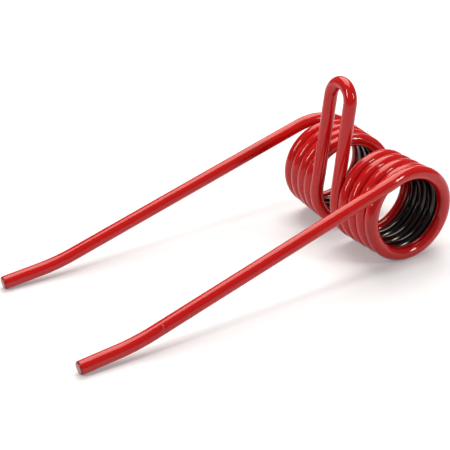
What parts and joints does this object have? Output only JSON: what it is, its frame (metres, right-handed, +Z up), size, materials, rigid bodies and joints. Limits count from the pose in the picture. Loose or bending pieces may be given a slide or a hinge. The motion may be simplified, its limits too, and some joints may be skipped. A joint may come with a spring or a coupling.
{
  "type": "pickup tine",
  "caption": "Spring tine bent from round wire: a narrow bolt loop stands between close coils, and long legs that rake up the crop flatten near their ends.",
  "frame": {"origin": "on the axis of the coils, midway between them", "axes": "the legs point to -X, +Y runs along the bar through the coils, and +Z is up with the tine resting on its coils and its leg ends"},
  "size_m": [0.1696, 0.0788, 0.0715],
  "materials": {
    "coated_wire": "gloss"
  },
  "bodies": {
    "root": {"tine_wire": "coated_wire"}
  },
  "joints": []
}
